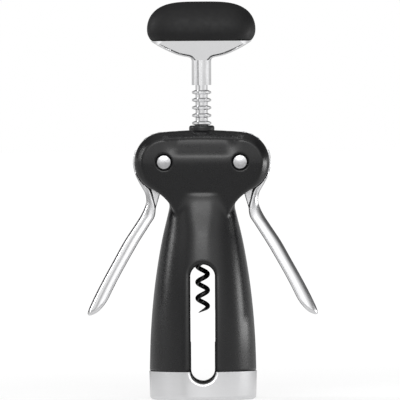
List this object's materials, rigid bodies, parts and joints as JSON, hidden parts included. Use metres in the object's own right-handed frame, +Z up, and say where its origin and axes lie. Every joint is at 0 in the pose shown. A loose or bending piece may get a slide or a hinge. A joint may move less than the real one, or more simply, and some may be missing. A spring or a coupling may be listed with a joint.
{
  "type": "wing corkscrew",
  "caption": "Wing corkscrew: a turning knob drives a worm through an annular rack that meshes with two geared lever arms, in a bell body with a see-through window.",
  "frame": {"origin": "centre of the foot ring's lower face, on the worm's axis", "axes": "+Z up along the worm towards the knob, -Y towards the front face with the domed rivet heads, +X to the right as seen from the front"},
  "size_m": [0.1112, 0.0514, 0.1909],
  "materials": {
    "body_black": "satin moulded black",
    "satin_metal": "fine satin, matt plated",
    "guide_nylon": "matt moulded black",
    "bush_nylon": "glossy black",
    "polished_metal": "polished plating",
    "coated_wire": "glossy non-stick coating",
    "pin_steel": "plain steel",
    "soft_grip": "soft matt elastomer",
    "washer_nylon": "natural nylon",
    "rivet_metal": "turned, slightly rough"
  },
  "bodies": {
    "frame": {"body_shell": "body_black", "base_ring": "satin_metal", "bottle_guide": "guide_nylon", "pivot_rivet_left": "rivet_metal", "pivot_rivet_right": "rivet_metal", "rivet_cap_left": "rivet_metal", "rivet_cap_right": "rivet_metal", "thrust_washers_left": "washer_nylon", "thrust_washers_right": "washer_nylon"},
    "bush": {"collar_bush": "bush_nylon"},
    "spindle": {"rack_spindle": "polished_metal", "worm": "coated_wire", "worm_pin": "pin_steel", "knob_bracket": "satin_metal", "knob_core": "guide_nylon", "knob_screws": "pin_steel", "knob_grip": "soft_grip"},
    "wing_left": {"wing_left": "polished_metal"},
    "wing_right": {"wing_right": "polished_metal"}
  },
  "joints": [
    {"name": "knob_spin", "type": "hinge", "parent": "frame", "child": "bush", "pos_m": [0, 0, 0.129], "axis": [0, 0, 1], "continuous": true},
    {"name": "spindle_slide", "type": "slide", "parent": "bush", "child": "spindle", "axis": [0, 0, 1], "range_m": [-0.031, 0]},
    {"name": "wing_left_swing", "type": "hinge", "parent": "frame", "child": "wing_left", "pos_m": [-0.01825, 0, 0.114], "axis": [0, 1, 0], "range_deg": [0, 126.66]},
    {"name": "wing_right_swing", "type": "hinge", "parent": "frame", "child": "wing_right", "pos_m": [0.01825, 0, 0.114], "axis": [0, 1, 0], "range_deg": [-126.66, 0]}
  ],
  "couplings": [
    {"joint": "wing_left_swing", "follows": "spindle_slide", "rad_per_m": -71.301},
    {"joint": "wing_right_swing", "follows": "spindle_slide", "rad_per_m": 71.301}
  ]
}
